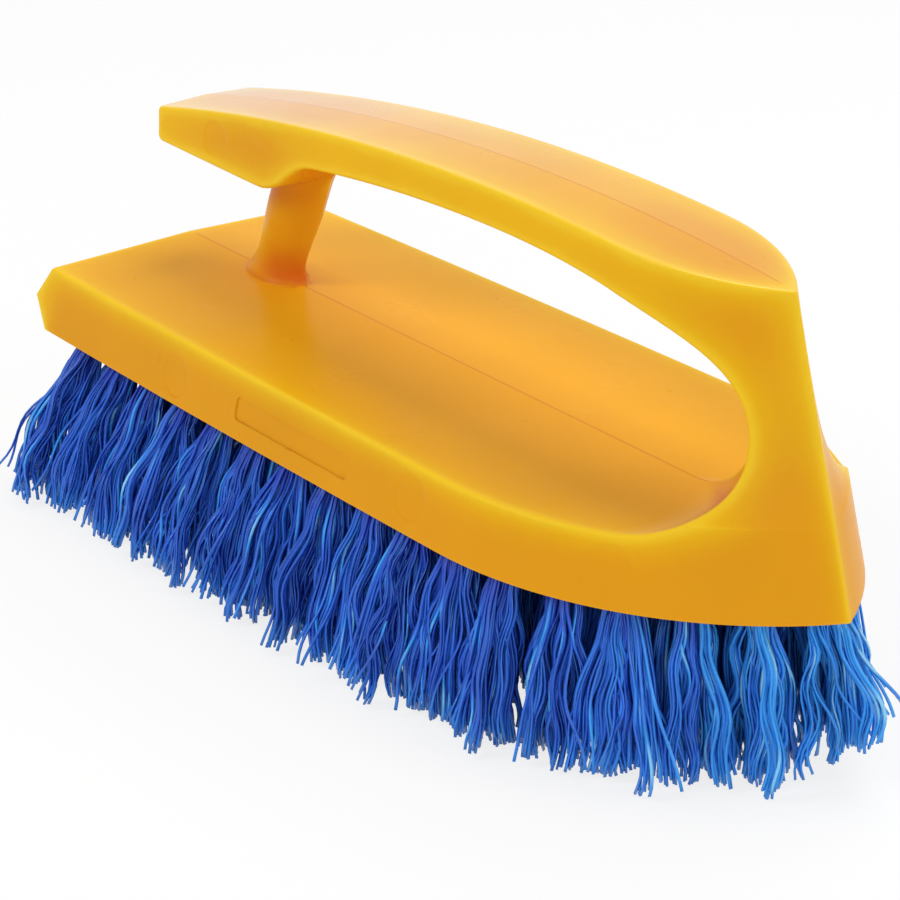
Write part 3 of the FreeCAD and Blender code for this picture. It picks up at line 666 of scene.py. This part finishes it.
bristles = []
for row in rows:
    root, _, tip, _ = plans[row]
    loose_share = END_ROWS_LOOSE if row in (rows[0], rows[-1]) else OTHERS_LOOSE
    tuft, lock, lock_tip, begin, finish = spread(*plans[row])
    bent, finish, end = trimmed(root, tip, tuft, lock, finish, loose_share)
    paths = waved(begin, finish, bent, end, lock, len(tuft))
    shade = shade_along(lock, lock_tip)
    corners, strips, ends = tubes(paths, RADIUS * draw.uniform(*THICKNESS_VARIES, len(lock)))
    name = "bristles_" + row[-2:]
    piece = piece_from(name, mesh_from(name, corners, strips, ends), row)
    shade_and_place = np.column_stack([shade.ravel(), np.tile(ALONG, len(lock))]).repeat(SIDES, axis=0)
    loops = np.concatenate([strips.ravel(), ends.ravel()])
    piece.data.uv_layers.new(name="filament").data.foreach_set("uv", shade_and_place[loops].ravel())
    bristles.append(piece)
print(len(bristles), "rows of bristles,", sum(len(piece.data.polygons) for piece in bristles), "faces")

# %% [markdown]
# ## Helpers for the finishes
#
# A material can be wired up by hand in the shader editor. Written out in full, each node would take
# several lines here, so a few helpers make a node, set or link its inputs, and hand on its output.


# %% Colours, materials and nodes
def linear(red, green, blue):
    """A colour written as screen values from 0 to 255, in the linear light that shaders use."""
    screen = np.array([red, green, blue]) / 255
    light = np.where(screen <= 0.04045, screen / 12.92, ((screen + 0.055) / 1.055) ** 2.4)
    return (*light.tolist(), 1.0)


def new_material(name, **settings):
    """A material with its shader, and the shader's plain settings."""
    material = bpy.data.materials.new(name)
    material.use_nodes = True
    shader = material.node_tree.nodes["Principled BSDF"]
    for socket, value in settings.items():
        shader.inputs[socket.replace("_", " ")].default_value = value
    return material, material.node_tree, shader


def node(tree, kind, links=(), **settings):
    """A node with its settings, and inputs linked from (input, socket) or set from (input, value)."""
    made = tree.nodes.new(kind)
    for name, value in settings.items():
        setattr(made, name, value)
    for place, source in links:
        if isinstance(source, bpy.types.NodeSocket):
            tree.links.new(source, made.inputs[place])
        else:
            made.inputs[place].default_value = source
    return made


def worked(tree, operation, first, second=0.0):
    """The result of a sum on one or two values."""
    return node(tree, "ShaderNodeMath", [(0, first), (1, second)], operation=operation).outputs[0]


def mixed(tree, factor, first, second, blend="MIX"):
    """A mix of two colours."""
    links = ((0, factor), (6, first), (7, second))
    return node(tree, "ShaderNodeMix", links, data_type="RGBA", blend_type=blend).outputs[2]


def ramp(tree, value, low, high, start=0.0, stop=1.0, smooth=True):
    """A value mapped from low..high to start..stop, smoothly or evenly."""
    links = [("Value", value), ("From Min", low), ("From Max", high), ("To Min", start), ("To Max", stop)]
    between = "SMOOTHSTEP" if smooth else "LINEAR"
    return node(tree, "ShaderNodeMapRange", links, interpolation_type=between).outputs["Result"]


def attribute(tree, name):
    """A value that a mesh carries at its points."""
    return node(tree, "ShaderNodeAttribute", attribute_name=name).outputs["Fac"]


print("a middle grey on the screen is", round(linear(128, 128, 128)[0], 3), "in linear light")

# %% [markdown]
# ## The shared mottle
#
# All three materials vary a little over their surface: flow in the moulding, dye lots in the filament,
# drawing marks on the staples. That shared effect is one node group of noise on Object coordinates, with
# its size and strength as inputs, so each finish sets its own values.

# %% Build the mottle group
NOISE_DETAIL = 3.0
NOISE_LOW, NOISE_HIGH = 0.3, 0.7


def mottle_group():
    """Noise as a factor, from one minus the strength to one plus it, and the same noise as a height."""
    group = bpy.data.node_groups.new("mottle", "ShaderNodeTree")
    for way, names in (("INPUT", ("Scale", "Strength")), ("OUTPUT", ("Factor", "Height"))):
        for name in names:
            group.interface.new_socket(name, in_out=way, socket_type="NodeSocketFloat")
    given = node(group, "NodeGroupInput").outputs
    place = node(group, "ShaderNodeTexCoord").outputs["Object"]
    links = [("Vector", place), ("Scale", given["Scale"]), ("Detail", NOISE_DETAIL)]
    noise = node(group, "ShaderNodeTexNoise", links).outputs["Fac"]
    less = worked(group, "SUBTRACT", 1.0, given["Strength"])
    more = worked(group, "ADD", 1.0, given["Strength"])
    factor = ramp(group, noise, NOISE_LOW, NOISE_HIGH, less, more, smooth=False)
    node(group, "NodeGroupOutput", [("Factor", factor), ("Height", noise)])
    return group


def mottled(tree, scale, strength):
    """The mottle group placed in a material."""
    made = node(tree, "ShaderNodeGroup", node_tree=mottle)
    made.inputs["Scale"].default_value = scale
    made.inputs["Strength"].default_value = strength
    return made.outputs["Factor"], made.outputs["Height"]


mottle = mottle_group()
print("group", mottle.name, "with", len(mottle.nodes), "nodes")

# %% [markdown]
# ## Moulded plastic
#
# Orange-yellow polypropylene is smooth and slightly see-through. Its colour is painted from a deep
# orange shade in the hollows to a clear yellow glow of light on the edges, with painted light on the
# open floor and painted shade on the strut, and a hair line along the parting plane shows where the
# mould closed. One flat colour under a strong light would miss that, so the masks on the skin blend the
# colours. Its sides are satin. A clear coat shines on the grip's back alone, where hands polish it.

# %% Colours of the moulding
# HOLLOW_PAINTED_SHADE is painted shade in hollows; RIM_PAINTED_GLOW and EDGE_PAINTED_GLOW are painted
# glow, where light comes through thin edges.
HOLLOW_PAINTED_SHADE, WALL = linear(206, 100, 26), linear(226, 155, 26)
# FLOOR_PAINTED_LIGHT is painted light on the floor of the opening; STRUT_SHADE is painted shade under the
# grip.
FLOOR_PAINTED_LIGHT, STRUT_SHADE = linear(233, 170, 28), linear(214, 112, 30)
RIM_PAINTED_GLOW, EDGE_PAINTED_GLOW = linear(236, 184, 24), linear(240, 196, 40)
PARTING_LINE = linear(206, 118, 18)
HOLLOW_PROUD, RIM_PROUD, EDGE_PROUD = (-1.2, 0.0), (0.15, 1.6), (0.1, 0.5)
LINE_WIDTH, LINE_STRENGTH, LINE_ENDS = (0.06 * MM, 0.22 * MM), 0.7, (0.05, 0.2)

plastic, tree, shader = new_material(
    "moulded_plastic", IOR=1.49, Specular_IOR_Level=0.05, Subsurface_Weight=0.1,
    Subsurface_Scale=1.0 * MM, Subsurface_Radius=(1.0, 0.45, 0.1), Coat_IOR=1.6, Coat_Roughness=0.14)
rims, edges = attribute(tree, "painted_rim_glow_and_shade"), attribute(tree, "painted_edge_glow")
flow, swirl = mottled(tree, scale=30.0, strength=0.04)
# Painted shade in the hollows.
body = mixed(tree, ramp(tree, rims, *HOLLOW_PROUD), HOLLOW_PAINTED_SHADE, WALL)
# Painted light on the floor of the opening.
body = mixed(tree, attribute(tree, "painted_floor_light"), body, FLOOR_PAINTED_LIGHT)
# Painted glow on the rims and on the edges.
body = mixed(tree, ramp(tree, rims, *RIM_PROUD), body, RIM_PAINTED_GLOW)
body = mixed(tree, ramp(tree, edges, *EDGE_PROUD), body, EDGE_PAINTED_GLOW)
# Painted shade on the strut.
body = mixed(tree, attribute(tree, "shade"), body, STRUT_SHADE)
body = mixed(tree, 1.0, body, flow, "MULTIPLY")
where = node(tree, "ShaderNodeSeparateXYZ", [(0, node(tree, "ShaderNodeTexCoord").outputs["Object"])])
off_plane = worked(tree, "ABSOLUTE", where.outputs["Y"])
off_edges = ramp(tree, edges, *LINE_ENDS, 1.0, 0.0)
parting = worked(tree, "MULTIPLY", ramp(tree, off_plane, *LINE_WIDTH, LINE_STRENGTH, 0.0), off_edges)
body = mixed(tree, parting, body, PARTING_LINE)
tree.links.new(body, shader.inputs["Base Color"])
print(plastic.name, "has", len(tree.nodes), "nodes for its colour")

# %% Gloss of the moulding
SATIN = 0.3
gloss, _ = mottled(tree, scale=90.0, strength=0.12)
tree.links.new(worked(tree, "MULTIPLY", gloss, SATIN), shader.inputs["Roughness"])
tree.links.new(attribute(tree, "polish"), shader.inputs["Coat Weight"])
bump = node(tree, "ShaderNodeBump", [("Strength", 0.1), ("Distance", 0.2 * MM), ("Height", swirl)])
tree.links.new(bump.outputs["Normal"], shader.inputs["Normal"])
moulding.data.materials.append(plastic)
print(plastic.name, "has", len(tree.nodes), "nodes in all")

# %% [markdown]
# ## Filament
#
# The filament is drawn polypropylene, with a strong blue dye, and smooth enough to glint. A random value
# per object would give a whole row one shade. So each filament takes its own from its place on the UV
# map, and some carry a painted glint for part of their length. Painted shade darkens it near the roots,
# where the tuft is packed, and painted light makes it lighter at its tip and round the toe, where light
# gets through.

# %% The bristles' material
# ROOT_PAINTED_SHADE is painted shade at the roots, TIP_PAINTED_LIGHT and TOE_PAINTED_LIGHT painted light
# at the tips and the toe, PAINTED_GLINT_BLUE a painted glint.
DARK_DYE, CLEAR_DYE = linear(30, 66, 184), linear(56, 114, 232)
ROOT_PAINTED_SHADE, TIP_PAINTED_LIGHT = linear(50, 50, 184), linear(56, 156, 246)
TOE_PAINTED_LIGHT, PAINTED_GLINT_BLUE = linear(56, 160, 250), linear(140, 212, 255)
ROOT_LENGTH, TIP_LENGTH, TIP_STRENGTH = (0.0, 0.35), (0.8, 1.0), 0.5
LIT_FROM, GLINT_FROM = (0.7, 1.6), (1.5, 2.7)

filament, tree, shader = new_material(
    "blue_filament", IOR=1.49, Roughness=0.16, Specular_IOR_Level=0.9,
    Specular_Tint=(0.35, 0.75, 1.0, 1.0))
uv = node(tree, "ShaderNodeUVMap", uv_map="filament").outputs["UV"]
shade, along, _ = node(tree, "ShaderNodeSeparateXYZ", [(0, uv)]).outputs
dye_and_painted_light = mixed(tree, shade, DARK_DYE, CLEAR_DYE)
# Painted shade at the roots.
dye_and_painted_light = mixed(tree, ramp(tree, along, *ROOT_LENGTH), ROOT_PAINTED_SHADE, dye_and_painted_light)
# Painted light at the tips.
dye_and_painted_light = mixed(tree, ramp(tree, along, *TIP_LENGTH, 0.0, TIP_STRENGTH), dye_and_painted_light, TIP_PAINTED_LIGHT)
# Painted light round the toe.
dye_and_painted_light = mixed(tree, ramp(tree, shade, *LIT_FROM), dye_and_painted_light, TOE_PAINTED_LIGHT)
# A painted glint.
dye_and_painted_light = mixed(tree, ramp(tree, shade, *GLINT_FROM), dye_and_painted_light, PAINTED_GLINT_BLUE)
lot, _ = mottled(tree, scale=160.0, strength=0.10)
dye_and_painted_light = mixed(tree, 1.0, dye_and_painted_light, lot, "MULTIPLY")
tree.links.new(dye_and_painted_light, shader.inputs["Base Color"])
for piece in bristles:
    piece.data.materials.append(filament)
print(filament.name, "on", len(bristles), "rows")

# %% [markdown]
# ## Staples
#
# The staples are short lengths of flat steel wire, driven across the holes and hidden in the block. New
# meshes could be made for them, but their CAD solids are already right, so they only take a finish: grey
# steel with fine marks from the drawing die.

# %% The staples' material
STEEL_GREY, STEEL_ROUGHNESS = linear(176, 178, 180), 0.35

steel, tree, shader = new_material("staple_wire", Metallic=1.0)
marks, _ = mottled(tree, scale=900.0, strength=0.15)
tree.links.new(mixed(tree, 1.0, STEEL_GREY, marks, "MULTIPLY"), shader.inputs["Base Color"])
tree.links.new(worked(tree, "MULTIPLY", marks, STEEL_ROUGHNESS), shader.inputs["Roughness"])
staples = [item for name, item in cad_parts.items() if name.startswith("staple_row")]
for item in staples:
    item.data.materials.clear()
    item.data.materials.append(steel)
print(steel.name, "on", len(staples), "rows")

# %% [markdown]
# ## Floor, background and light
#
# The photograph has a white background and soft light from above and behind, from the left, from the
# right and from the toe. Stronger lamps could whiten the floor, but would bleach the brush too. So the
# floor and the world are white to the camera and to reflections, and give a plain grey light otherwise.
# The main lamp stands towards the far side, so the grip's shadow falls on the near half below it.

# %% White floor and world
WHITE = (1.0, 1.0, 1.0, 1.0)
SKY_LIGHT = 0.42
FLOOR_GREY, FLOOR_GLOW, FLOOR_HALF = (0.9, 0.9, 0.9, 1.0), 0.8, 3.0


def camera_white(tree):
    """One for rays from the camera, off gloss and through glass, nought for the rest."""
    path = node(tree, "ShaderNodeLightPath").outputs
    seen = worked(tree, "MAXIMUM", path["Is Camera Ray"], path["Is Glossy Ray"])
    return worked(tree, "MAXIMUM", seen, path["Is Transmission Ray"])


world = bpy.data.worlds.new("studio")
world.use_nodes = True
bpy.context.scene.world = world
tree = world.node_tree
sky = tree.nodes["Background"]
sky.inputs["Color"].default_value = WHITE
brightness = ramp(tree, camera_white(tree), 0.0, 1.0, SKY_LIGHT, 1.0, smooth=False)
tree.links.new(brightness, sky.inputs["Strength"])

floor_corners = FLOOR_HALF * np.array([[-1, -1, 0], [1, -1, 0], [1, 1, 0], [-1, 1, 0]])
floor = bpy.data.objects.new("floor", mesh_from("floor", floor_corners, np.array([[0, 1, 2, 3]])))
bpy.context.scene.collection.objects.link(floor)
paper, tree, shader = new_material("white_floor", Base_Color=FLOOR_GREY, Roughness=0.9)
glow = node(tree, "ShaderNodeEmission", [("Color", WHITE), ("Strength", 1.0)])
share = worked(tree, "MULTIPLY", camera_white(tree), FLOOR_GLOW)
blend = node(tree, "ShaderNodeMixShader", [(0, share), (1, shader.outputs[0]), (2, glow.outputs[0])])
tree.links.new(blend.outputs[0], tree.nodes["Material Output"].inputs["Surface"])
floor.data.materials.append(paper)
print("floor", 2 * FLOOR_HALF, "m wide")

# %% Soft lamps
# A direction along which no lamp faces, to cross with the way it does.
NEARLY_ACROSS = (0.0, 1.0, 0.001)


def soft_lamp(name, place, size, power):
    """A square lamp at a place, turned to face the middle of the brush."""
    lamp = bpy.data.objects.new(name, bpy.data.lights.new(name, "AREA"))
    lamp.data.size = size
    lamp.data.energy = power
    away = np.array(place) - middle_of_brush
    away /= np.linalg.norm(away)
    side = np.cross(NEARLY_ACROSS, away)
    side /= np.linalg.norm(side)
    put(lamp, side, np.cross(away, side), away, place)
    return lamp


lamps = [
    soft_lamp("overhead", (-0.05, 0.30, 0.75), size=0.5, power=3.0),
    soft_lamp("front_left", (-0.30, -0.70, 0.70), size=0.32, power=3.0),
    soft_lamp("front_right", (0.60, -0.50, 0.40), size=0.5, power=1.3),
    soft_lamp("behind_toe", (0.70, 0.45, 0.30), size=0.4, power=1.4),
]
bpy.context.scene.view_settings.view_transform = "Standard"
print(len(lamps), "lamps of", round(sum(lamp.data.energy for lamp in lamps), 1), "watts together")
